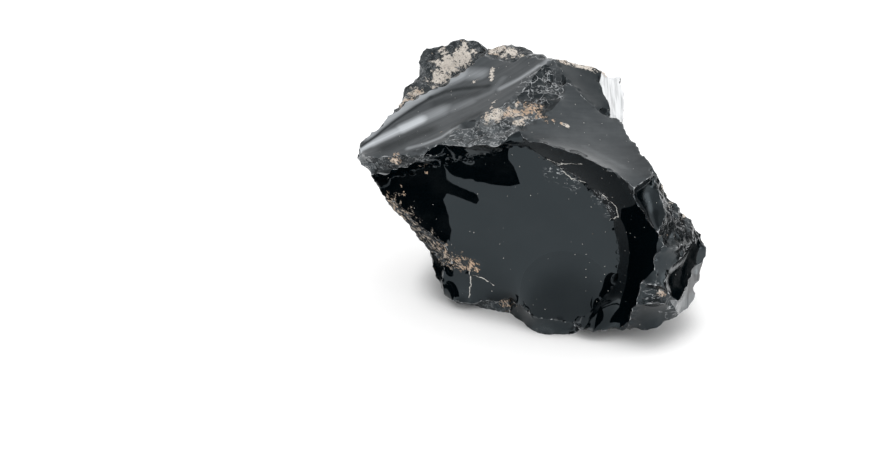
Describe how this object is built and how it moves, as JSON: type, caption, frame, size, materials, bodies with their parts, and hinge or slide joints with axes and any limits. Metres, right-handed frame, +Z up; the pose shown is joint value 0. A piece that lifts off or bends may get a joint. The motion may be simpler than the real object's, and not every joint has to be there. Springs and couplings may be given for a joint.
{
  "type": "obsidian chunk",
  "caption": "Raw chunk of black volcanic glass with shell-like flake scars, sharp ridges and tan patches of crust, resting on a flat underside.",
  "frame": {"origin": "on the floor under the middle of the chunk's bounding box", "axes": "+X along the length, towards the low blunt end; +Y away from the big hollow front scar; +Z up from the resting face"},
  "size_m": [0.1174, 0.0906, 0.081],
  "materials": {
    "obsidian": "glassy natural break, black, with rough tan crust in places"
  },
  "bodies": {
    "root": {"obsidian_chunk": "obsidian"}
  },
  "joints": []
}
